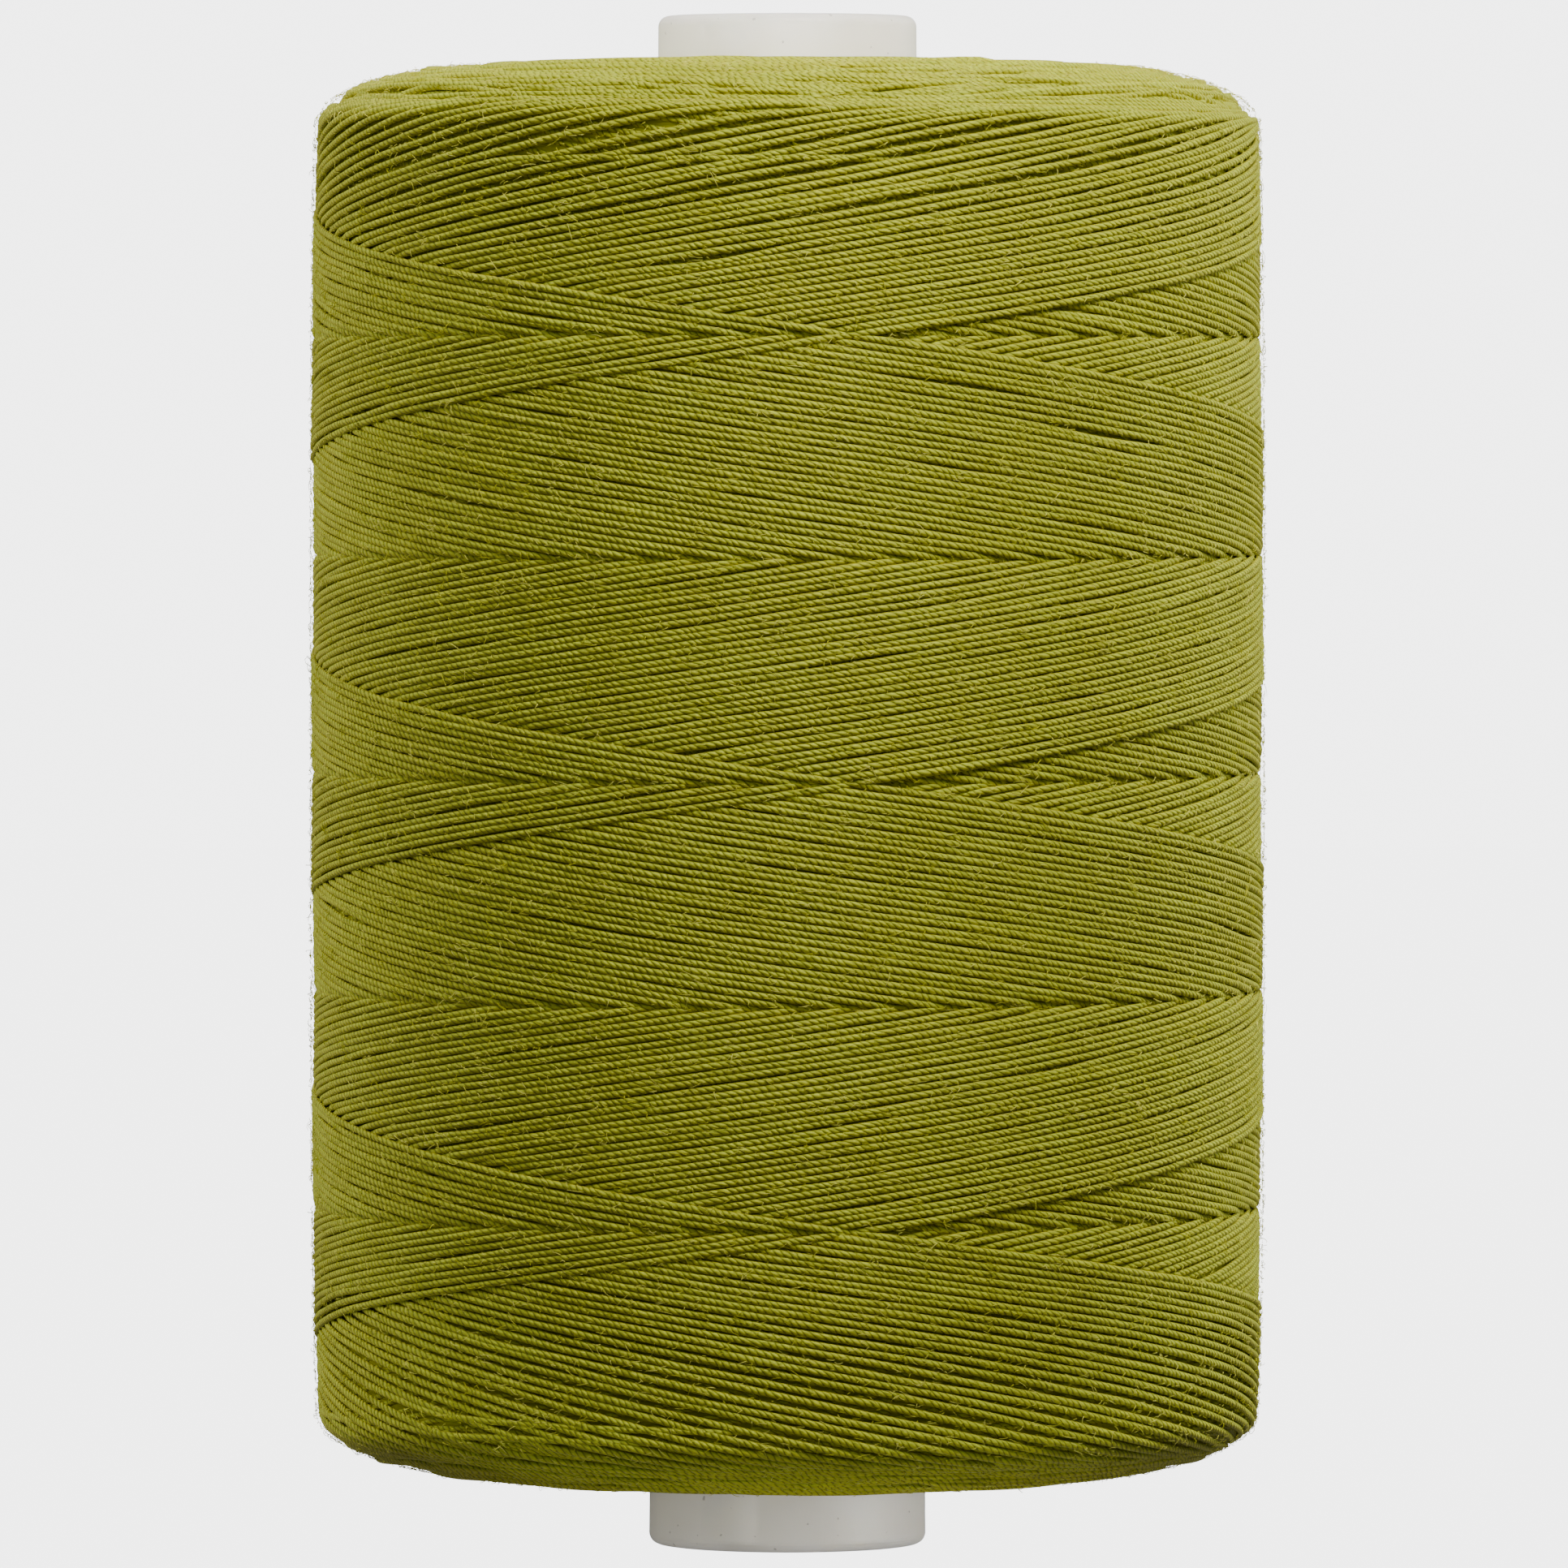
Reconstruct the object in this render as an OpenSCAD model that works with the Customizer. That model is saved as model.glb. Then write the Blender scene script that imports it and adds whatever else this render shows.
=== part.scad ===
// Cross-wound package of sewing thread on a moulded plastic tube, in millimetres.
// The tube stands on its wider foot rim at z = 0, with its axis on +Z and the front on -Y.

/* [Tube] */
// Diameter of the bore
bore_d = 8.4; // [6:0.1:12]
// Wall at the foot rim
foot_wall = 1.6; // [1.2:0.05:2.4]
// Wall at the head rim, thinner by the outer wall's draft
head_wall = 1.2; // [1.15:0.05:2.4]
// Bare tube below the package
foot_out = 3; // [2:0.1:10]
// Bare tube above the package
head_out = 2; // [1.5:0.1:10]
// Rounding of the rims' outer edges
rim_r = 0.45; // [0.2:0.05:0.6]
// Chamfer of the bore's mouths
bore_chamfer = 0.4; // [0.2:0.05:0.5]

/* [Package] */
// Diameter over the outer layer of thread
package_d = 40; // [30:0.5:60]
// Height of the package, from crown to crown of its end faces
package_h = 59; // [44:0.2:80]
// How far the shoulders stand out from the wound core, on a slope as long as it is high
shoulder_rise = 0.9; // [0.3:0.1:1.2]
// Diameter at which each end face is at its crown, before it falls away in a round
crown_d = 24; // [18:0.5:26]
// How far each crown stands out past its shoulder
crown_rise = 2.2; // [0.8:0.1:3]
// How far each end face sinks from its crown to the tube
end_dip = 0.3; // [0:0.05:0.6]

/* [Outer layer] */
// Diameter of the wound strand
strand_d = 0.5; // [0.3:0.05:0.8]
// Double traverses, each one pass down and one pass up
traverses = 4; // [2:1:4]
// Turns of each double traverse, before the step that spreads the pattern
turns = 6; // [4:1:6]
// Clear gap between strands where they cross
strand_gap = 0.45; // [0.42:0.01:0.6]
// Clearance between the strand and the core or the shoulders
lay_clearance = 0.06; // [0.02:0.01:0.2]
// Angle that each reversal takes on either side of its peak
reversal_angle = 36; // [30:1:40]
// Column of crossings nearest the front, in degrees round from it
crossing_angle = 7.5; // [-20:0.5:20]

/* [Hidden] */

ROUND_FN = 96; // facets of the revolved pieces where they are shown as a mesh
ARC_STEPS = 6; // straight steps of a rounded corner
END_STEPS = 12; // straight steps of an end face's round
SIDES = 6; // sides of the strand
RINGS = 24; // rings of the strand in one loop
BEND_STEPS = 3; // steps of the bend where an end of the strand leaves the core

white_plastic = [0.88, 0.87, 0.85];
olive_thread = [0.50, 0.47, 0.12];
light_olive_thread = [0.60, 0.57, 0.19];

tube_len = foot_out + package_h + head_out;
package_z = [foot_out, foot_out + package_h];

strand_r = strand_d / 2;
chord_dip = 1 - cos(180 / RINGS); // share of its radius that a chord of the strand dips
outer_r = package_d / 2 - strand_r; // centre line of the falling passes
inner_r = outer_r - strand_d - strand_gap; // and of the rising ones
core_r = inner_r * (1 - chord_dip) - strand_r - lay_clearance;
shoulder_out = core_r + shoulder_rise;
shoulder_h = shoulder_rise + crown_rise;

// The strand's centre line between its reversals, and the step that spreads the pattern
wind_z = package_z + [1, -1] * (shoulder_h + strand_r + lay_clearance);
loops = turns * traverses - 1;
lap = 360 * loops / traverses;
lead = (wind_z[1] - wind_z[0]) / (lap / 2 - reversal_angle) * 360;

// Each end of the strand: a straight foot one strand long, then a bend into the lay
bend_r = outer_r - core_r - strand_d;
end_seat = strand_r * strand_r / (2 * core_r);
end_angle = 9; // from a reversal's peak to where the bend joins the lay
climb_angle = 8; // from a reversal's peak to where the climb is over

// Outer radius of the drafted tube at a height
function tube_r(z) = bore_d / 2 + foot_wall + (head_wall - foot_wall) * z / tube_len;

// Points of a rounded corner about a centre, from one angle to another
function arc(centre, r, from, to) =
    [for (i = [0:ARC_STEPS]) let (a = from + (to - from) * i / ARC_STEPS) centre + r * [cos(a), sin(a)]];

// Height of a reversal's round below the sharp peak, d degrees from it
function peak_drop(d) =
    lead / 360 * (abs(d) < reversal_angle ? (d * d / reversal_angle + reversal_angle) / 2 : abs(d));

// Degrees from the nearest top reversal, and from the nearest bottom one
function from_top(t) = t - lap * round(t / lap);
function from_foot(t) = t - lap * (floor(t / lap) + 0.5);

function wound_z(t) =
    abs(from_top(t)) < lap / 4
        ? wind_z[1] + lead / 360 * reversal_angle / 2 - peak_drop(from_top(t))
        : wind_z[0] - lead / 360 * reversal_angle / 2 + peak_drop(from_foot(t));

// 0 on a rising pass and 1 on a falling one, eased in between
function ease(x) = (1 - cos(180 * min(1, max(0, x)))) / 2;
function outward(t) =
    let (run = reversal_angle - climb_angle)
    abs(from_top(t)) < lap / 4
        ? ease((from_top(t) + reversal_angle) / run)
        : ease((reversal_angle - from_foot(t)) / run);

// A point of the centre line, t degrees along the winding and at radius r
function on_lay(t, r) =
    let (a = t + crossing_angle + 90) [r * cos(a), r * sin(a), wound_z(t)];
function lay_point(t) = on_lay(t, inner_r + (outer_r - inner_r) * outward(t));

// Points of an end, from its seat on the core to the lay; way is 1 at the start and -1 at the end
function end_points(t, way) =
    let (foot_t = t - way * bend_r / outer_r * 180 / PI)
    [
        on_lay(foot_t, core_r - end_seat),
        for (i = [0:BEND_STEPS - 1]) let (a = 90 * i / BEND_STEPS)
            on_lay(t - way * bend_r * cos(a) / outer_r * 180 / PI, outer_r - bend_r * (1 - sin(a)))
    ];

function reversed(list) = [for (i = [len(list) - 1:-1:0]) list[i]];

first_t = end_angle;
last_t = traverses * lap - end_angle;
lay_steps = ceil((last_t - first_t) * RINGS / 360);
lay_path = [for (i = [0:lay_steps]) lay_point(first_t + (last_t - first_t) * i / lay_steps)];
strand_path = concat(end_points(first_t, 1), lay_path, reversed(end_points(last_t, -1)));

// Least distance between two straight stretches of the strand, on evenly spaced points of each
function stretch_point(path, i, share) = path[i] + (path[i + 1] - path[i]) * share;
function stretch_gap(path, i, j) =
    min([for (s = [0:0.25:1]) for (e = [0:0.25:1]) norm(stretch_point(path, i, s) - stretch_point(path, j, e))]);

// Least gap from the strand to itself, between stretches at least half a loop apart
function least_gap(path) =
    let (near = 360 / RINGS * PI / 180 * package_d / 2 + strand_d + strand_gap)
    min([
        for (i = [0:len(path) - 2]) for (j = [i + RINGS / 2:1:len(path) - 2])
            if (norm(path[i] - path[j]) < 1.5 * near) stretch_gap(path, i, j)
    ]) - strand_d;

function unit(v) = v / norm(v);

// Tube of SIDES sides round a path that never runs along the axis
module swept_strand(path) {
    last = len(path) - 1;
    points = [
        for (i = [0:last])
            let (along = unit(path[min(i + 1, last)] - path[max(i - 1, 0)]),
                 side = unit(cross([0, 0, 1], along)),
                 up = cross(along, side))
            for (k = [0:SIDES - 1])
                path[i] + strand_r * (cos(360 * k / SIDES) * side + sin(360 * k / SIDES) * up)
    ];
    walls = [
        for (i = [0:last - 1]) for (k = [0:SIDES - 1])
            let (a = i * SIDES + k, b = i * SIDES + (k + 1) % SIDES)
            each [[a, a + SIDES, b], [b, a + SIDES, b + SIDES]]
    ];
    caps = [
        for (k = [1:SIDES - 2])
            each [[0, k, k + 1], [last * SIDES, last * SIDES + k + 1, last * SIDES + k]]
    ];
    polyhedron(points, concat(walls, caps), convexity = 10);
}

// Moulded tube: drafted outer wall, rounded rims, straight bore with chamfered mouths
module core_tube() {
    bore_r = bore_d / 2;
    color(white_plastic)
        rotate_extrude($fn = ROUND_FN)
            polygon(concat(
                [[bore_r, bore_chamfer], [bore_r + bore_chamfer, 0]],
                arc([tube_r(rim_r) - rim_r, rim_r], rim_r, -90, 0),
                arc([tube_r(tube_len - rim_r) - rim_r, tube_len - rim_r], rim_r, 0, 90),
                [[bore_r + bore_chamfer, tube_len], [bore_r, tube_len - bore_chamfer]]
            ));
}

// An end face's round, a quarter of an ellipse from the crown out to the shoulder; inward is 1 or -1
function end_round(crown_z, inward) =
    [for (i = [0:END_STEPS]) let (a = 90 * i / END_STEPS)
        [crown_d / 2 + (shoulder_out - crown_d / 2) * sin(a), crown_z + inward * crown_rise * (1 - cos(a))]];

// Wound thread under the outer layer, with the shoulders and domed ends past the layer's reversals
module thread_body() {
    low = package_z[0];
    high = package_z[1];
    color(olive_thread)
        rotate_extrude($fn = ROUND_FN)
            polygon(concat(
                [[tube_r(low + end_dip), low + end_dip]],
                end_round(low, 1),
                [[core_r, low + shoulder_h], [core_r, high - shoulder_h]],
                reversed(end_round(high, -1)),
                [[tube_r(high - end_dip), high - end_dip]]
            ));
}

// Outer layer: one unbroken strand, cross-wound from end to end of the package
module outer_winding() {
    color(light_olive_thread) swept_strand(strand_path);
    echo(loops = loops, lead = lead, least_gap_to_itself = least_gap(strand_path));
}

core_tube();
thread_body();
outer_winding();
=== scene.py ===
import math

import bpy
import numpy as np
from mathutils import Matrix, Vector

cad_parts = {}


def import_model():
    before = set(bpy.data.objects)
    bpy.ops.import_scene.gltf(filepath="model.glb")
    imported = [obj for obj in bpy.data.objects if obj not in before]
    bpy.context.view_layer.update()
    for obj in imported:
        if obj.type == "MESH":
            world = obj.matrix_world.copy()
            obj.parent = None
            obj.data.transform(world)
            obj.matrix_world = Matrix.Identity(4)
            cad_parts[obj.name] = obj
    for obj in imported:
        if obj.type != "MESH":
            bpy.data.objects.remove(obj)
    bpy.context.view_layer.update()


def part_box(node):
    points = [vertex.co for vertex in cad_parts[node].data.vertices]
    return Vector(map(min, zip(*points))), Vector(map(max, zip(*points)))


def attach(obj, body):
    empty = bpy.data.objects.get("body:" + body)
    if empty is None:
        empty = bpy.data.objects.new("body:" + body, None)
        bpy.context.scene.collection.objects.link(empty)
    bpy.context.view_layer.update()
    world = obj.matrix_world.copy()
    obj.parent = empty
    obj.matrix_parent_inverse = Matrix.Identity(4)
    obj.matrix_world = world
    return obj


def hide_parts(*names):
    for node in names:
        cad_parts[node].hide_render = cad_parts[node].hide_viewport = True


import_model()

# Sizes are in millimetres until a mesh is made, and heights on the package are from its middle.
MM = 0.001


def node_box(name):
    low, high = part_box(name)
    return np.array(low) / MM, np.array(high) / MM


_, TUBE_HIGH = node_box("core_tube")
BODY_LOW, BODY_HIGH = node_box("thread_body")
LAYER_LOW, LAYER_HIGH = node_box("outer_winding")
MIDDLE = (BODY_LOW[2] + BODY_HIGH[2]) / 2
HALF_HEIGHT = (BODY_HIGH[2] - BODY_LOW[2]) / 2
PACKAGE_R = (LAYER_HIGH[0] - LAYER_LOW[0]) / 2
TUBE_R = TUBE_HIGH[0]  # at the foot, where the tube is widest

# The thread and its lay. The traverse is measured along the package's profile, from its middle.
THREAD_R = 0.15
FLATTENED = 0.82  # share of its width that the tensioned thread is thick
LEAD = 18.2  # how far the traverse moves in one turn
STRANDS = 60  # passes each way round the package
STEP = 360 / STRANDS  # from one double traverse to the next
LAP = 6 * 360 + STEP  # one double traverse, in degrees
SHARP_TOP = 27.15  # where the upper reversals would be if they were sharp
SHARP_FOOT = SHARP_TOP - LEAD * LAP / 720
REVERSAL = 28  # degrees either side of a reversal that its round takes
NEWEST = 7.5  # degrees from the front of the column where the newest passes cross
LAYER_STEP = 0.22  # from the upper family of passes down to the lower
AGE_STEP = 0.15  # from the newest pass down to the oldest of its family
RING_STEP = 3  # degrees from one ring of the thread's mesh to the next
CROSSING_EASE = 0.55  # how gently a pass steps over another, in rings
THREAD_SIDES = 8
WINDING_PIECES = 4
TUCK_DEPTH = 0.8  # how deep the thread's two ends are tucked in
TUCK_RUN = 12  # degrees that an end takes to come up

# Unevenness of the outer layer: its size, and its shortest and longest wave in degrees of winding
SWAY = (0.01, 60, 900)
SHAKE = (0.012, 12, 60)
JUMPS = (1, 30, 200)  # these are cubed, and then scaled
JUMP_SIZE = 0.005
LOOSE_SWAY = (0.05, 50, 400)  # near the reversals only
DEPTH_SWAY = (0.012, 40, 500)
THICKNESS = (0.035, 8, 120)  # as a share of THREAD_R
SLOW_TONE = (0.035, 300, 5000)
QUICK_TONE = (0.03, 20, 90)
SLUBS = 260  # thick places along the thread
SLUB_SIZE = (0.1, 0.3)  # as a share of the thread's radius
SLUB_WIDTH = 3.5  # in degrees of winding
SLUB_REACH = 12  # where a slub has faded out

# The package's profile
SHOULDER_Z = 26.9  # height from the middle at which the ends start to round
CROWN_R = 12.0
END_DIP = 0.3  # how far the end faces sink towards the tube
END_TAPER = 0.2  # how much slimmer the package is at its shoulders
INNER_DEPTH = 0.27  # from the threads on top down to the mass that closes the gaps between them

# Slack, early and uneven reversals
PEAK_CUT = 0.5  # how far the thread stops short of a sharp reversal
PEAK_ROUND = 0.15
LOOSE_RUN = 4  # how far past SLACK_START the lay is fully loose
SLACK_START = 21.0  # where the lay starts to slip outwards, along the profile
SLACK_TOP = 1.5  # how far it slips at a sharp upper reversal
SLACK_FOOT = 2.3  # and at a lower one
SLACK_LEFT = 0.35  # share that the upper ones slip more on the left, and less on the right
EARLY_TOP = 0.12  # share of the upper reversals that come early
EARLY_FOOT = 0.2  # and of the lower ones
EARLY_LEAST, EARLY_MOST = 0.4, 2.4  # how early
LAST_GAP = 0.08  # extra gap at the last rising pass, left of the front
LAST_GAP_LEFT = 70  # degrees from the front to where the gap is widest
LAST_GAP_SPREAD = 32

# Older windings on the shoulders and end faces, in full rings under shallow arcs
END_START = 24.5  # where the arcs begin, along the profile
END_PITCH = 0.2
COVER_END = 27.4  # where they start to come out from under the outer layer
COVER_RUN = 1.4  # how far on they are fully out
COVER_DEPTH = 0.55
END_CUT = 0.02  # how far before the tube the rings and arcs are cut off
END_SIDES = 6
RING_PITCH = 0.27
RING_DEPTH = 0.3
RING_HALF = 185  # degrees from a ring's middle to its ends, which overlap
RING_TUCK, RING_TUCK_RUN = 0.3, 8  # how deep its ends are tucked in, and the degrees that takes
RING_SWAY = (0.05, 60, 300, 4)  # as above, in degrees round the package, with 4 sines
RING_POINTS = 76
RING_LAST = 0.1  # how far before the tube the last ring is
ARCS_EACH = 4  # arcs that peak at each place along the profile
ARC_POINTS = 36
ARC_LAST = 0.05  # how far before the tube the last ones peak
ARC_HALF = (35, 100)
ARC_FALL = (0.3, 1.6)  # how far an arc has fallen FALL_AT degrees from its peak
ARC_SLANT = 0.3
FALL_AT = 50
ARC_SPREAD = 0.12  # of the peaks along the profile
ARC_SWAY = (0.07, 50, 200, 4)
ARC_DEPTH = 0.03
ARC_LAYER = 0.17  # from one layer of arcs down to the other
ARC_TUCK, ARC_TUCK_RUN = 0.4, 12
ARC_DEPTH_SWAY = (0.055, 40, 200, 4)
ARC_THICKNESS = (0.92, 1.08)
ARC_TONE = 0.05

# Stray fibres
FIBRE_PIECES = 5
FIBRES_EACH = 9000
FIBRE_SHORTEST, FIBRE_LONGEST = 0.1, 0.8
FIBRE_EXTRA = (2.0, 0.1)  # gamma distribution of the length past the shortest
FIBRE_TURN = 0.6  # how far a fibre's heading and its bends stray, in radians
FIBRE_BOW = (1.5, 0.03)  # gamma distribution of how far it bows off the thread
FIBRE_LIFT = 0.25  # and the most of it
FIBRE_ROOT = 0.8  # how high on the thread it starts, as a share of THREAD_R
FIBRE_R = (0.01, 0.02)
FIBRE_STEPS = 3
PAST_SHOULDER = 6  # how far past the shoulders the fibres go
PATTERN_START = 50  # a short tube's material starts anywhere up to this far along

rng = np.random.default_rng(41)


def wander(x, size, shortest, longest, terms=7):
    """Smooth noise along x: a sum of sines whose wavelengths run from shortest to longest."""
    lengths = np.exp(rng.uniform(math.log(shortest), math.log(longest), terms))
    phases = rng.uniform(0, 2 * math.pi, terms)
    total = sum(np.sin(2 * math.pi * x / length + p) for length, p in zip(lengths, phases))
    return size * total / math.sqrt(terms / 2)


def smooth(values, width):
    """values averaged under a bell of this width, in samples."""
    reach = int(3 * width) + 1
    bell = np.exp(-0.5 * (np.arange(-reach, reach + 1) / width) ** 2)
    padded = np.pad(values, reach, mode="edge")
    return np.convolve(padded, bell / bell.sum(), mode="valid")


def step_up(x):
    """0 up to x = 0 and 1 from x = 1, with a smooth step between them."""
    x = np.clip(x, 0, 1)
    return x * x * (3 - 2 * x)


# ---------------------------------------------------------------- camera, floor and light
CAMERA_FAR = 600.0
CAMERA_RISE = 15.8  # how far the camera is above what it looks at
FRAME_WIDTH = 65.7  # what the frame takes in at the tube's axis
AIM = (-0.14, 0, MIDDLE - 0.65)
SENSOR_WIDTH = 36
FLOOR_HALF, WALL_CORNER = 1000, 500  # half the floor's width, and the round that the walls rise in
FLOOR_DROP = 0.02  # how far the floor is below the foot rim, so that they don't flicker
BACKDROP_GLOW = 4.5


def add_object(name, data):
    ob = bpy.data.objects.new(name, data)
    bpy.context.scene.collection.objects.link(ob)
    return ob


def aimed(name, data, location, target):
    """An object at location whose -Z axis points at target."""
    ob = add_object(name, data)
    ob.location = [c * MM for c in location]
    aim = np.array(target) - np.array(location)
    turn = math.atan2(-aim[0], aim[1])
    rise = math.atan2(aim[2], math.hypot(aim[0], aim[1]))
    ob.rotation_euler = (math.pi / 2 + rise, 0, turn)
    return ob


def photo_camera():
    """The photograph's view, from far off and a little above."""
    camera = bpy.data.cameras.new("camera")
    camera.sensor_width = SENSOR_WIDTH
    camera.lens = camera.sensor_width * CAMERA_FAR / FRAME_WIDTH
    camera.clip_start = 0.01
    camera.clip_end = 20
    location = (AIM[0], -CAMERA_FAR, AIM[2] + CAMERA_RISE)
    bpy.context.scene.camera = aimed("camera", camera, location, AIM)


def new_material(name):
    """A new material, its node tree and its shader."""
    m = bpy.data.materials.new(name)
    m.use_nodes = True
    tree = m.node_tree
    return m, tree, tree.nodes["Principled BSDF"]


def turned_mesh(name, profile, segments, closed):
    """A surface of revolution from (radius, height) pairs.

    The pairs run round a closed section, or along an open line that gets a flat face at each end.
    """
    turn = 2 * math.pi * np.arange(segments) / segments
    verts = [(r * MM * math.cos(a), r * MM * math.sin(a), z * MM) for r, z in profile for a in turn]
    n, k = len(profile), segments
    faces = [
        (i * k + s, i * k + (s + 1) % k, j * k + (s + 1) % k, j * k + s)
        for i, j in [(i, (i + 1) % n) for i in range(n if closed else n - 1)]
        for s in range(k)
    ]
    if not closed:
        faces += [tuple(range(k)), tuple(range(len(verts) - k, len(verts)))]
    mesh = bpy.data.meshes.new(name)
    mesh.from_pydata(verts, [], faces)
    mesh.polygons.foreach_set("use_smooth", [True] * len(faces))
    return mesh


def backdrop():
    """Pale floor and walls in one round sweep. It is only seen, and lights nothing."""
    bend = np.radians(np.linspace(-90, 90, 25))
    walls_r = FLOOR_HALF + WALL_CORNER * np.cos(bend)
    walls_z = WALL_CORNER - FLOOR_DROP + WALL_CORNER * np.sin(bend)
    middle_r = 0.95 * FLOOR_HALF
    profile = [(middle_r, -FLOOR_DROP), *zip(walls_r, walls_z), (middle_r, 2 * WALL_CORNER)]
    mesh = turned_mesh("backdrop", profile, 72, closed=False)
    ob = add_object("backdrop", mesh)
    for kind in ("diffuse", "glossy", "transmission", "volume_scatter", "shadow"):
        setattr(ob, "visible_" + kind, False)
    m, _, shader = new_material("backdrop")
    shader.inputs["Base Color"].default_value = (0.2, 0.2, 0.2, 1)
    shader.inputs["Roughness"].default_value = 1
    shader.inputs["Specular IOR Level"].default_value = 0
    shader.inputs["Emission Color"].default_value = (1, 1, 1, 1)
    shader.inputs["Emission Strength"].default_value = BACKDROP_GLOW
    mesh.materials.append(m)


def area_light(name, location, target, size, power, colour=(1, 1, 1), spread=180, glints=True):
    """A rectangular light; glints says whether glossy surfaces mirror it."""
    light = bpy.data.lights.new(name, "AREA")
    light.shape = "RECTANGLE"
    light.size, light.size_y = [s * MM for s in size]
    light.energy = power
    light.spread = math.radians(spread)
    light.color = colour
    ob = aimed(name, light, location, target)
    ob.visible_camera = False
    ob.visible_glossy = glints


def world(below, level, overhead):
    """White surroundings, alike all round, with their strength straight down, level and up."""
    w = bpy.data.worlds.new("world")
    bpy.context.scene.world = w
    w.use_nodes = True
    tree = w.node_tree
    shade = tree.nodes["Background"]
    shade.inputs["Color"].default_value = (1, 1, 1, 1)
    parts = tree.nodes.new("ShaderNodeSeparateXYZ")
    tree.links.new(tree.nodes.new("ShaderNodeTexCoord").outputs["Generated"], parts.inputs[0])
    strength = tree.nodes.new("ShaderNodeFloatCurve")
    curve = strength.mapping.curves[0]
    curve.points[0].location = (0, below)
    curve.points[1].location = (1, overhead)
    curve.points.new(0.5, level)
    strength.mapping.update()
    half = tree.nodes.new("ShaderNodeMapRange")
    half.inputs["From Min"].default_value = -1
    tree.links.new(parts.outputs[2], half.inputs["Value"])
    tree.links.new(half.outputs[0], strength.inputs["Value"])
    tree.links.new(strength.outputs[0], shade.inputs["Strength"])


WARM, COOL, LEAFY = (1, 0.96, 0.91), (0.94, 1, 0.95), (0.8, 1, 0.88)
WAIST = (0, 0, MIDDLE + 8)  # what the large lights point at
LOW = (50, 1.6)  # width and height of the strips that light a rim and nothing else
NARROW = 8  # degrees that their light spreads
photo_camera()
backdrop()
world(0.29, 0.12, 0.52)
area_light("key", (42, -86, MIDDLE + 128), (0, 0, MIDDLE + 22), (40, 60), 0.262, WARM)
area_light("fill", (-90, -240, MIDDLE + 170), WAIST, (160, 120), 0.065, COOL)
area_light("right_rim", (185, 125, MIDDLE + 100), WAIST, (90, 160), 0.76, glints=False)
area_light("left_rim", (-200, 105, MIDDLE + 110), WAIST, (90, 160), 0.72, WARM, glints=False)
area_light("foot_right", (58, -24, 0.6), (2, 0, 1.0), LOW, 0.0004, WARM, NARROW)
area_light("foot_left", (-34, -50, 0.6), (0, 0, 1.0), LOW, 0.0002, WARM, NARROW)
area_light("head_front", (-4, -60, 64.2), (0, 0, 63.4), LOW, 0.00072, WARM, NARROW)
area_light("under_round", (0, -58, -38), (0, -18, 3), (70, 4), 0.0002, LEAFY, NARROW)


# ---------------------------------------------------------------- meshes
def frames(paths):
    """Directions square to paths that never run along Z: one lying flat, one across it."""
    along = np.gradient(paths, axis=1)
    along /= np.linalg.norm(along, axis=2, keepdims=True)
    side = np.cross([0.0, 0.0, 1.0], along)
    side /= np.linalg.norm(side, axis=2, keepdims=True)
    return side, np.cross(along, side)


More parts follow.
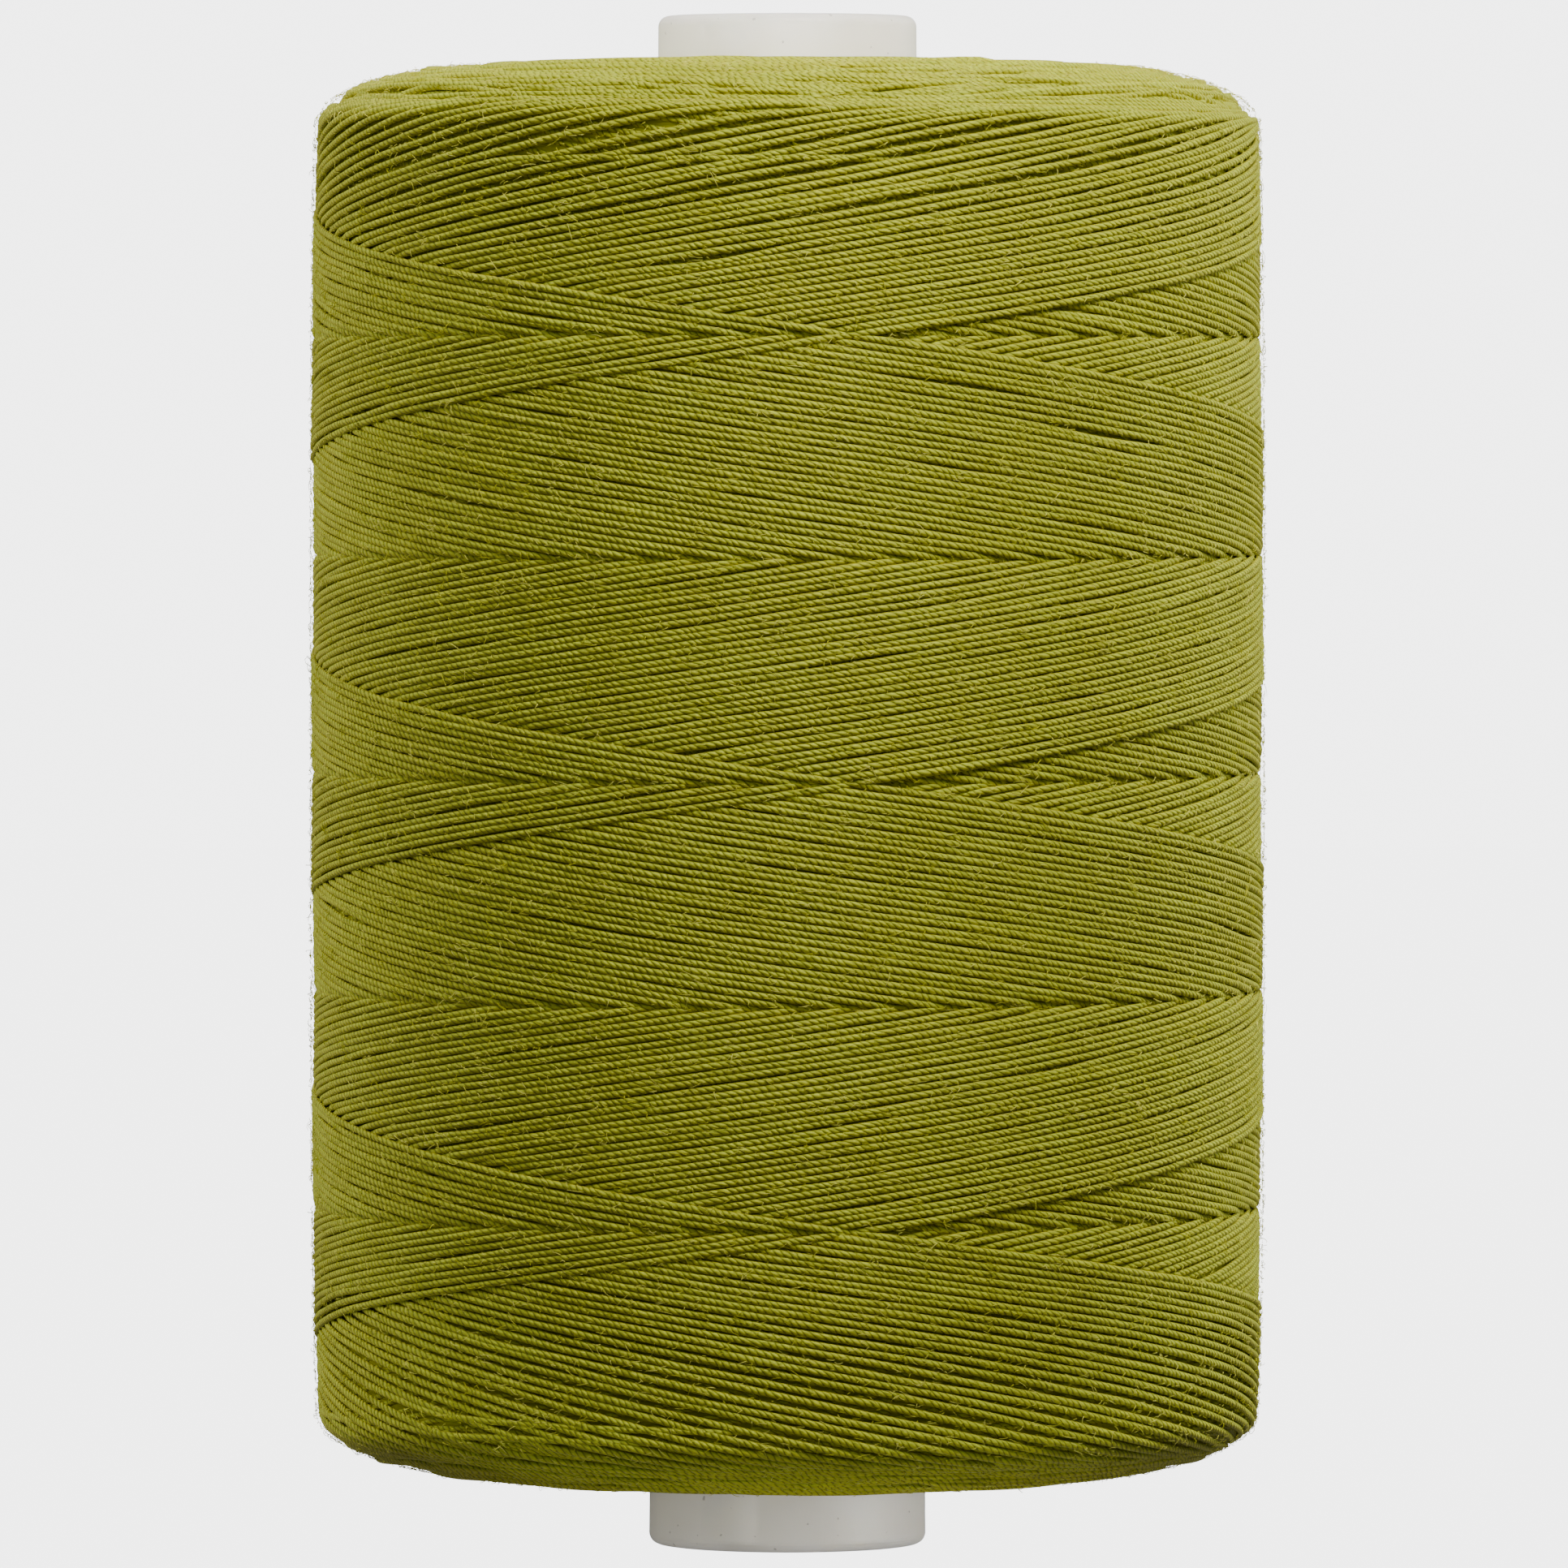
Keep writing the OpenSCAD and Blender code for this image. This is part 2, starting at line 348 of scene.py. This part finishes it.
class Tubes:
    """Swept tubes in one mesh, with a UV map of millimetres along the thread and turns round it."""

    def __init__(self, sides):
        self.sides = sides
        self.points, self.quads, self.caps = [], [], []
        self.lay, self.cap_lay, self.tones = [], [], []
        self.count = 0

    def add(self, paths, radius, tone=0.0, reach=None, thick=1.0):
        """Tubes along paths of as many points each; returns how far along the thread each one ends.

        reach is how far along they start, and thick their thickness as a share of their width.
        """
        k = self.sides
        m, n = paths.shape[:2]
        side, up = frames(paths)
        turn = 2 * math.pi * np.arange(k)[:, None] / k
        ring = thick * np.cos(turn) * side[:, :, None] + np.sin(turn) * up[:, :, None]
        radius = np.broadcast_to(radius, (m, n))
        self.points.append((paths[:, :, None] + ring * radius[:, :, None, None]).reshape(-1, 3))

        here, beside = np.arange(k), (np.arange(k) + 1) % k
        path_start = self.count + np.arange(m)[:, None, None] * n * k
        first = path_start + np.arange(n - 1)[:, None] * k
        quads = [first + here, first + beside, first + beside + k, first + here + k]
        self.quads.append(np.stack(quads, -1).reshape(-1, 4))
        caps = [path_start[:, 0] + here[::-1], path_start[:, 0] + (n - 1) * k + here]
        self.caps.append(np.stack(caps, 1).reshape(-1, k))

        start = rng.uniform(0, PATTERN_START, (m, 1)) if reach is None else np.full((m, 1), reach)
        lengths = np.linalg.norm(np.diff(paths, axis=1), axis=2)
        along = start + np.pad(np.cumsum(lengths, axis=1), ((0, 0), (1, 0)))
        low, high = [np.repeat(edge[:, :, None], k, 2) for edge in (along[:, :-1], along[:, 1:])]
        left, right = [np.broadcast_to(edge, low.shape) for edge in (here / k, (here + 1) / k)]
        corners = [(low, left), (low, right), (high, right), (high, left)]
        self.lay.append(np.stack([np.stack(corner, -1) for corner in corners], 3).reshape(-1, 2))
        cap_along = np.repeat(along[:, [0, -1]].ravel(), k)
        self.cap_lay.append(np.stack([cap_along, np.tile(here / k, 2 * m)], -1))
        self.tones.append(np.repeat(np.broadcast_to(tone, (m, n)), k))
        self.count += m * n * k
        return along[:, -1]

    def piece(self, name, material, node):
        k = self.sides
        quads, caps = np.concatenate(self.quads), np.concatenate(self.caps)
        corners = np.concatenate([quads.ravel(), caps.ravel()]).astype(np.int32)
        sizes = np.repeat([4, k], [len(quads), len(caps)]).astype(np.int32)
        mesh = bpy.data.meshes.new(name)
        mesh.vertices.add(self.count)
        mesh.vertices.foreach_set("co", (np.concatenate(self.points) * MM).ravel())
        mesh.loops.add(len(corners))
        mesh.loops.foreach_set("vertex_index", corners)
        mesh.polygons.add(len(sizes))
        mesh.polygons.foreach_set("loop_start", (np.cumsum(sizes) - sizes).astype(np.int32))
        mesh.polygons.foreach_set("loop_total", sizes)
        mesh.polygons.foreach_set("use_smooth", sizes == 4)
        lay, bake = np.concatenate(self.lay + self.cap_lay), self.bake_map(len(quads), len(caps))
        for layer, uv in (("lay", lay), ("OFBake", bake)):
            mesh.uv_layers.new(name=layer).data.foreach_set("uv", uv.astype(np.float32).ravel())
        tone = mesh.attributes.new("tone", "FLOAT", "POINT")
        tone.data.foreach_set("value", np.concatenate(self.tones).astype(np.float32))
        mesh.update(calc_edges=True)
        mesh.validate()
        place(name, mesh, material, node)

    def bake_map(self, quads, caps):
        """A UV map without overlaps: equal lengths of the thread in rows, then a row of its caps."""
        k = self.sides
        lengths = quads // k
        rows_to_columns = 0.8
        rows = max(1, int(math.sqrt(lengths * rows_to_columns)))
        per_row = math.ceil(lengths / rows)
        rows = math.ceil(lengths / per_row) + 1
        row, column = np.divmod(np.arange(lengths)[:, None], per_row)
        margin = 0.06
        low, high = [
            (row + margin + (1 - 2 * margin) * (np.arange(k) + edge) / k) / rows for edge in (0, 1)
        ]
        left, right = [np.broadcast_to((column + edge) / per_row, low.shape) for edge in (0, 1)]
        corners = [(left, low), (left, high), (right, high), (right, low)]
        uv = np.stack([np.stack(corner, -1) for corner in corners], 2).reshape(-1, 2)
        turn = 2 * math.pi * np.arange(k) / k
        cap_r = 0.4  # of its place in the row
        across = (np.arange(caps)[:, None] + 0.5 + cap_r * np.cos(turn)) / caps
        up = np.broadcast_to((rows - 0.5 + cap_r * np.sin(turn)) / rows, across.shape)
        return np.concatenate([uv, np.stack([across, up], -1).reshape(-1, 2)])


def place(name, mesh, material, node):
    """The mesh as a piece of the object that stands for a CAD node."""
    ob = add_object(name, mesh)
    mesh.materials.append(material)
    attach(ob, "root")
    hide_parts(node)


# ---------------------------------------------------------------- materials
class Nodes:
    """A new material, and short calls for its nodes."""

    def __init__(self, name):
        self.material, self.tree, self.shader = new_material(name)
        self.where = self.new("ShaderNodeTexCoord").outputs["Object"]

    def new(self, kind, **settings):
        node = self.tree.nodes.new(kind)
        for key, value in settings.items():
            setattr(node, key, value)
        return node

    def put(self, socket, value):
        if hasattr(value, "is_output"):
            self.tree.links.new(value, socket)
        else:
            socket.default_value = value

    def set(self, **sockets):
        """Values for the shader's sockets, whose names have _ for a space here."""
        for name, value in sockets.items():
            self.put(self.shader.inputs[name.replace("_", " ")], value)

    def math(self, operation, a, b=0.0):
        node = self.new("ShaderNodeMath", operation=operation)
        self.put(node.inputs[0], a)
        self.put(node.inputs[1], b)
        return node.outputs[0]

    def add(self, *terms):
        total = terms[0]
        for term in terms[1:]:
            total = self.math("ADD", total, term)
        return total

    def times(self, a, b):
        return self.math("MULTIPLY", a, b)

    def mix(self, share, a, b, blend="MIX"):
        node = self.new("ShaderNodeMix", data_type="RGBA", blend_type=blend)
        self.put(node.inputs[0], share)
        self.put(node.inputs[6], a)
        self.put(node.inputs[7], b)
        return node.outputs[2]

    def noise(self, vector, scale, detail):
        node = self.new("ShaderNodeTexNoise")
        self.put(node.inputs["Vector"], vector)
        node.inputs["Scale"].default_value = scale
        node.inputs["Detail"].default_value = detail
        return node.outputs["Fac"]

    def drawn_noise(self, scales, detail):
        """Noise with a scale of its own along each axis."""
        drawn = self.new("ShaderNodeMapping")
        self.put(drawn.inputs["Vector"], self.where)
        drawn.inputs["Scale"].default_value = scales
        return self.noise(drawn.outputs[0], 1.0, detail)

    def ramp(self, value, low, high, to_low=0.0, to_high=1.0, smooth=True):
        kind = "SMOOTHSTEP" if smooth else "LINEAR"
        node = self.new("ShaderNodeMapRange", interpolation_type=kind)
        self.put(node.inputs[0], value)
        for socket, number in zip(node.inputs[1:5], (low, high, to_low, to_high)):
            socket.default_value = number
        return node.outputs[0]

    def grey(self, value):
        """The same number in all three channels."""
        node = self.new("ShaderNodeCombineColor")
        for socket in node.inputs[:3]:
            self.put(socket, value)
        return node.outputs[0]

    def bump(self, height, strength, distance):
        node = self.new("ShaderNodeBump")
        node.inputs["Strength"].default_value = strength
        node.inputs["Distance"].default_value = distance * MM
        self.put(node.inputs["Height"], height)
        self.set(Normal=node.outputs[0])


def linear(r, g, b):
    """A colour of 0 to 255 values, as the linear numbers that a shader takes."""
    channels = [c / 255 for c in (r, g, b)]
    return tuple(((c + 0.055) / 1.055) ** 2.4 if c > 0.04 else c / 12.92 for c in channels) + (1,)


PLIES = 3
PLY_PITCH = 0.33  # from one ply to the next along the thread
PLY_UNEVEN = 1.6
HAIRS_ROUND = 24.0  # hairs of the plies, counted round the thread
HAIR_RUN = 1.5  # how many change along each millimetre


def thread_material():
    """Plied thread: twisted plies with painted shade in their grooves, fine fibres and slow changes
    of tone, plus painted light by facing: a green highlight tint on the upper sides and painted
    shade on the undersides and top faces.
    """
    n = Nodes("olive_thread")
    lay = n.new("ShaderNodeSeparateXYZ")
    n.put(lay.inputs[0], n.new("ShaderNodeUVMap", uv_map="lay").outputs[0])
    along, around = lay.outputs[0], lay.outputs[1]

    plies = n.math("SUBTRACT", n.times(along, 1 / PLY_PITCH), n.times(around, PLIES))
    plies = n.add(plies, n.times(n.noise(n.where, 900, 1.0), PLY_UNEVEN))
    wave = n.math("ABSOLUTE", n.math("SINE", n.times(plies, math.pi)))

    # Fibres run along the plies
    twist = n.times(along, HAIRS_ROUND / (PLIES * PLY_PITCH))
    twisted = n.new("ShaderNodeCombineXYZ")
    n.put(twisted.inputs[0], n.times(along, HAIR_RUN))
    n.put(twisted.inputs[1], n.math("SUBTRACT", n.times(around, HAIRS_ROUND), twist))
    fibres = n.noise(twisted.outputs[0], 1.0, 3.0)

    patches = n.noise(n.where, 420, 3.0)
    broad = n.noise(n.where, 40, 2.0)
    fuzz = n.noise(n.where, 6500, 2.0)
    tone = n.new("ShaderNodeAttribute", attribute_name="tone").outputs["Fac"]
    normal = n.new("ShaderNodeSeparateXYZ")
    n.put(normal.inputs[0], n.new("ShaderNodeNewGeometry").outputs["Normal"])
    facing_up = normal.outputs[2]

    # The first colour is painted shade for the ply grooves; ridge is the thread's own colour.
    painted_groove_shade, ridge = (0.14, 0.15, 0.014, 1), (0.41, 0.438, 0.034, 1)
    gold, painted_highlight_green = (0.50, 0.38, 0.006, 1), (0.355, 0.495, 0.046, 1)
    # Colours of painted shade: under for the undersides of the thread, top for the faces that look
    # straight up.
    under, top = (0.40, 0.30, 0.004, 1), (0.38, 0.32, 0.004, 1)
    # Painted highlight: a green tint on the upper sides of the thread, where the light falls from
    # above; this is its mask.
    painted_highlight_mask = n.times(n.ramp(facing_up, -0.9, 0.9), n.ramp(facing_up, 0.6, 1.0, 1.0, 0.2))
    # Painted shade in the ply grooves.
    colour = n.mix(n.ramp(wave, 0.02, 0.62), painted_groove_shade, ridge)
    colour = n.mix(n.ramp(fibres, 0.3, 0.75, 0.0, 0.4), colour, gold)
    # Painted shade: the undersides darker and orange-brown.
    colour = n.mix(n.ramp(facing_up, -0.6, 0.1, 0.25, 0.0), colour, under)
    # Painted shade: the faces that look straight up darker and warmer.
    colour = n.mix(n.ramp(facing_up, 0.6, 1.0, 0.0, 0.5), colour, top)
    # Painted highlight tint on the upper sides.
    colour = n.mix(n.times(painted_highlight_mask, n.ramp(patches, 0.3, 0.7, 0.32, 0.5)), colour, painted_highlight_green)
    shade = n.add(
        n.ramp(broad, 0.3, 0.7, -0.03, 0.03, smooth=False),
        n.ramp(patches, 0.3, 0.7, -0.03, 0.03, smooth=False),
        # Painted shade in the ply grooves, and a painted highlight on the ply crests.
        n.ramp(wave, 0.05, 0.85, -0.24, 0.12),
        n.add(tone, n.ramp(fuzz, 0.3, 0.7, -0.17, 0.17, smooth=False)),
        1.0,
    )

    n.bump(n.add(n.times(wave, 0.8), n.times(fibres, 0.3)), strength=1.0, distance=0.042)
    n.set(
        Base_Color=n.mix(1.0, colour, n.grey(shade), "MULTIPLY"),
        Roughness=n.ramp(fibres, 0.2, 0.8, 0.5, 0.34),
        Specular_IOR_Level=0.5,
        Specular_Tint=(1, 0.97, 0.18, 1),
        Sheen_Weight=0.25,
        Sheen_Roughness=0.45,
        Sheen_Tint=(0.9, 0.91, 0.22, 1),
    )
    return n.material


def fibre_material():
    """Fine fibres, a little paler and darker from place to place."""
    n = Nodes("stray_fibres")
    pale = n.ramp(n.noise(n.where, 700, 1.0), 0.35, 0.65)
    n.set(
        Base_Color=n.mix(pale, (0.48, 0.48, 0.02, 1), (0.68, 0.67, 0.12, 1)),
        Roughness=0.6,
        Specular_IOR_Level=0.2,
    )
    return n.material


def inner_material():
    """The thread that shows in the gaps between threads: fine lines round the package."""
    n = Nodes("inner_thread")
    lines = n.drawn_noise((120, 120, 3600), 2.0)
    n.bump(lines, strength=0.8, distance=0.1)
    n.set(
        Base_Color=n.mix(n.ramp(lines, 0.3, 0.7), linear(138, 142, 22), linear(174, 174, 40)),
        Roughness=0.9,
        Specular_IOR_Level=0.1,
    )
    return n.material


def tube_material():
    """Milky moulded plastic with faint flow clouds, fine scuffs and a few dark specks."""
    n = Nodes("white_plastic")
    clouds = n.ramp(n.noise(n.where, 160, 3.0), 0.35, 0.65)
    specks = n.ramp(n.noise(n.where, 3600, 0.0), 0.82, 0.85)
    scuffs = n.drawn_noise((2600, 2600, 160), 3.0)
    plastic = n.mix(clouds, linear(248, 244, 232), linear(252, 249, 241))
    n.bump(scuffs, strength=0.25, distance=0.02)
    n.set(
        Base_Color=n.mix(n.times(specks, 0.45), plastic, linear(120, 112, 98)),
        Roughness=n.ramp(scuffs, 0.3, 0.7, 0.32, 0.46, smooth=False),
        Subsurface_Weight=0.2,
        Subsurface_Radius=(1.0, 0.95, 0.85),
        Subsurface_Scale=1.2 * MM,
        Specular_IOR_Level=0.45,
    )
    return n.material


OLIVE = thread_material()
FIBRES = fibre_material()
INNER = inner_material()
TUBE = tube_material()


# ---------------------------------------------------------------- the package's profile
def profile_points():
    """Radii and heights of the threads' centres, from the side's middle up and in to the tube."""
    side_steps, round_steps, face_steps = 80, 60, 30
    side_z = np.linspace(0, SHOULDER_Z, side_steps)
    side_r = PACKAGE_R - THREAD_R - END_TAPER * (side_z / SHOULDER_Z) ** 4
    turn = np.linspace(0, math.pi / 2, round_steps)[1:]
    round_r = CROWN_R + (side_r[-1] - CROWN_R) * np.cos(turn)
    round_z = SHOULDER_Z + (HALF_HEIGHT - THREAD_R - SHOULDER_Z) * np.sin(turn)
    face_r = np.linspace(CROWN_R, TUBE_R + THREAD_R, face_steps)[1:]
    face_z = round_z[-1] - END_DIP * step_up((CROWN_R - face_r) / (CROWN_R - TUBE_R))
    return np.concatenate([side_r, round_r, face_r]), np.concatenate([side_z, round_z, face_z])


PROFILE_R, PROFILE_Z = profile_points()
PROFILE_S = np.concatenate([[0], np.cumsum(np.hypot(np.diff(PROFILE_R), np.diff(PROFILE_Z)))])


def on_profile(s, depth):
    """Radius and height, s along the profile (negative is down) and depth under it."""
    reach = np.abs(s)
    run_r, run_z = [
        np.interp(reach, PROFILE_S, np.gradient(line, PROFILE_S)) for line in (PROFILE_R, PROFILE_Z)
    ]
    size = np.hypot(run_r, run_z)
    r = np.interp(reach, PROFILE_S, PROFILE_R) - depth * run_z / size
    z = np.interp(reach, PROFILE_S, PROFILE_Z) + depth * run_r / size
    return r, np.sign(s) * z


def path_points(angle, s, depth):
    """Points of a path on the package, at an angle round it from +X in radians."""
    r, z = on_profile(s, depth)
    return np.stack([r * np.cos(angle), r * np.sin(angle), z + MIDDLE], -1)


# ---------------------------------------------------------------- the outer layer
def soft_min(a, b, width):
    """The lesser of two values, rounded over this width where they meet."""
    return -width * np.logaddexp(-a / width, -b / width)


def front_angle(t):
    """Degrees round the package from its front, to the right, t degrees along the path."""
    return (t + NEWEST) % 360 - 180


def traverse(t):
    """Where the thread is on the profile, t degrees along it; the newest upper reversal is at 0."""
    slope = LEAD / 360
    lap_number = np.round(t / LAP).astype(int)
    from_top = np.abs(t - LAP * lap_number)
    from_foot = LAP / 2 - from_top
    foot_number = np.floor(t / LAP).astype(int)
    laps = STRANDS + 3  # some to spare at both ends
    early = [
        np.where(rng.random(laps) < share, rng.uniform(EARLY_LEAST, EARLY_MOST, laps), 0)
        for share in (EARLY_TOP, EARLY_FOOT)
    ]

    def reversal(sharp, d, early):
        """How far from the middle the thread is, d degrees from a reversal."""
        drop = np.where(d < REVERSAL, (d**2 / REVERSAL + REVERSAL) / 2, d) * slope
        return soft_min(sharp - drop, sharp - PEAK_CUT - early, PEAK_ROUND)

    def slack(reach, most):
        return reach + most * np.maximum(0, (reach - SLACK_START) / (SHARP_TOP - SLACK_START)) ** 2

    to_left = 1 - SLACK_LEFT * np.sin(np.radians(front_angle(t)))
    top = reversal(SHARP_TOP, from_top, early[0][lap_number])
    foot = reversal(-SHARP_FOOT, from_foot, early[1][foot_number])
    return np.where(from_top < LAP / 4, slack(top, SLACK_TOP * to_left), -slack(foot, SLACK_FOOT))


def on_top(t):
    """1 where the pass at t is newer than the one that it crosses, so that it lies over, or 0."""
    lap_number = np.round(t / LAP)
    from_top = t - LAP * lap_number
    age = -STEP * lap_number
    from_newest = -(t + 180)
    # Height above the place where the newest passes cross
    rise = LEAD / 2 - LEAD / 360 * np.abs(from_top)
    turn = rise / LEAD * 360
    other = np.where(from_top < 0, from_newest - turn, from_newest + turn) % 360
    return np.where(age % 360 < other, 1.0, 0.0)


def outer_layer():
    """The one unbroken thread, in a few meshes only to keep each within the export's limits."""
    oldest, newest = -(STRANDS - 0.5) * LAP, 0.5 * LAP
    t = np.arange(oldest, newest, RING_STEP)
    over = smooth(on_top(t), CROSSING_EASE)
    azimuth = front_angle(t)

    s = traverse(t)
    loose = step_up((np.abs(s) - SLACK_START) / LOOSE_RUN)
    s = s + wander(t, *SWAY) + wander(t, *SHAKE) + wander(t, *JUMPS) ** 3 * JUMP_SIZE
    s = s + loose * wander(t, *LOOSE_SWAY)
    last_rise = (t < 0) & (t > -LAP / 2)
    last_gap = LAST_GAP * np.exp(-(((azimuth + LAST_GAP_LEFT) / LAST_GAP_SPREAD) ** 2))
    s = s - np.where(last_rise, last_gap, 0)

    depth = AGE_STEP * np.clip(-t / LAP / STRANDS, 0, 1) + LAYER_STEP * (1 - over)
    depth = depth - wander(t, *DEPTH_SWAY)
    untucked = step_up((t - t[0]) / TUCK_RUN) * step_up((t[-1] - t) / TUCK_RUN)
    depth = depth + TUCK_DEPTH * (1 - untucked)
    points = path_points(np.radians(azimuth - 90), s, depth)

    radius = THREAD_R * (1 + wander(t, *THICKNESS))
    for slub in rng.uniform(t[0], t[-1], SLUBS):
        near = np.abs(t - slub) < SLUB_REACH
        bell = np.exp(-((t[near] - slub) / SLUB_WIDTH) ** 2)
        radius[near] *= 1 + rng.uniform(*SLUB_SIZE) * bell
    tone = wander(t, *SLOW_TONE) + wander(t, *QUICK_TONE)

    reach = 0.0
    for i in range(WINDING_PIECES):
        start, stop = [round(len(t) * j / WINDING_PIECES) for j in (i, i + 1)]
        part = slice(start, min(stop + 1, len(t)))
        tubes = Tubes(THREAD_SIDES)
        reach = tubes.add(points[None, part], radius[part], tone[part], reach, FLATTENED)[0]
        tubes.piece(f"outer_winding_{i + 1}", OLIVE, "outer_winding")


# ---------------------------------------------------------------- shoulders and end faces
def end_windings(name, way):
    """Reversals of older layers: full rings in to the tube, and shallow arcs over them."""
    tubes = Tubes(END_SIDES)
    last = PROFILE_S[-1]

    rings = np.arange(COVER_END, last - RING_LAST, RING_PITCH)[:, None]
    turn = np.linspace(-RING_HALF, RING_HALF, RING_POINTS)
    s = rings + np.stack([wander(turn, *RING_SWAY) for _ in rings])
    depth = RING_DEPTH + RING_TUCK * (1 - step_up((RING_HALF - np.abs(turn)) / RING_TUCK_RUN))
    angle = np.radians(turn) + rng.uniform(0, 2 * math.pi, (len(rings), 1))
    tubes.add(path_points(angle, way * np.minimum(s, last - END_CUT), depth), THREAD_R)

    peaks = np.repeat(np.arange(END_START, last - ARC_LAST, END_PITCH), ARCS_EACH)[:, None]
    arcs = len(peaks)
    layer = np.arange(arcs)[:, None] // 2 % 2
    reach = rng.uniform(*ARC_HALF, (arcs, 1))
    turn = reach * np.linspace(-1, 1, ARC_POINTS)
    fall = rng.uniform(*ARC_FALL, (arcs, 1)) * (turn / FALL_AT) ** 2
    fall = fall + rng.uniform(-ARC_SLANT, ARC_SLANT, (arcs, 1)) * turn / FALL_AT
    s = peaks + rng.normal(0, ARC_SPREAD, (arcs, 1)) - fall
    s += np.stack([wander(row, *ARC_SWAY) for row in turn])
    s = np.clip(s, END_START - 1, last - END_CUT)
    depth = layer * ARC_LAYER + ARC_DEPTH
    depth = depth + COVER_DEPTH * (1 - step_up((s - COVER_END) / COVER_RUN))
    depth = depth + ARC_TUCK * (1 - step_up((reach - np.abs(turn)) / ARC_TUCK_RUN))
    depth -= np.stack([wander(row, *ARC_DEPTH_SWAY) for row in turn])
    angle = np.radians(turn) + rng.uniform(0, 2 * math.pi, (arcs, 1))
    radius = THREAD_R * rng.uniform(*ARC_THICKNESS, (arcs, 1))
    tubes.add(path_points(angle, way * s, depth), radius, rng.normal(0, ARC_TONE, (arcs, 1)))
    tubes.piece(name, OLIVE, "thread_body")


def inner_mass():
    """The wound thread that closes the gaps between the threads on view."""
    side = np.linspace(0, SHOULDER_Z, 12)
    ends = np.linspace(SHOULDER_Z, PROFILE_S[-1], 60)[1:]
    r, z = on_profile(np.concatenate([side, ends]), INNER_DEPTH)
    r[-1] = TUBE_R - 0.1  # inside the tube's wall, so that no gap shows
    upper = list(zip(r, MIDDLE + z))
    lower = list(zip(r, MIDDLE - z))[:0:-1]
    hidden_r, hidden_step = TUBE_R - 0.3, 0.5
    hidden = [(hidden_r, upper[-1][1] - hidden_step), (hidden_r, lower[0][1] + hidden_step)]
    mesh = turned_mesh("inner_mass", lower + upper + hidden, 128, closed=True)
    place("inner_mass", mesh, INNER, "thread_body")


# ---------------------------------------------------------------- stray fibres
def stray_fibres(name, count):
    """Short fibres that stand off the thread all over the package."""
    tubes = Tubes(3)
    share = np.linspace(0, 1, FIBRE_STEPS + 1)
    furthest = SHOULDER_Z + PAST_SHOULDER

    def each(low, high):
        return rng.uniform(low, high, (count, 1))

    def walk(steps):
        return np.pad(np.cumsum(steps, axis=1), ((0, 0), (1, 0)))

    length = np.minimum(rng.gamma(*FIBRE_EXTRA, (count, 1)) + FIBRE_SHORTEST, FIBRE_LONGEST)
    heading = rng.normal(0, FIBRE_TURN, (count, 1)) + math.pi * (each(0, 1) < 0.5)
    heading = heading + rng.normal(0, FIBRE_TURN, (count, 1)) * share[:-1]
    across, rise = [walk(turn(heading) * length / FIBRE_STEPS) for turn in (np.cos, np.sin)]
    bow = np.minimum(rng.gamma(*FIBRE_BOW, (count, 1)), FIBRE_LIFT)
    lift = bow * np.sin(math.pi * share * each(0.5, 1.0)) ** 0.8
    angle = each(0, 2 * math.pi) + across / PACKAGE_R
    height = each(-furthest, furthest) + rise
    paths = path_points(angle, height, -FIBRE_ROOT * THREAD_R - lift)
    nudge = share[:, None] * 1e-4 * np.array([0.3, 1, 0.2])  # so that no path runs along Z
    tubes.add(paths + nudge, each(*FIBRE_R) * (1 - 0.4 * share))
    tubes.piece(name, FIBRES, "outer_winding")


outer_layer()
end_windings("upper_shoulder", 1)
end_windings("lower_shoulder", -1)
inner_mass()
for i in range(FIBRE_PIECES):
    stray_fibres(f"stray_fibres_{i + 1}", FIBRES_EACH)

for slot in bpy.data.objects["core_tube"].material_slots:
    slot.material = TUBE
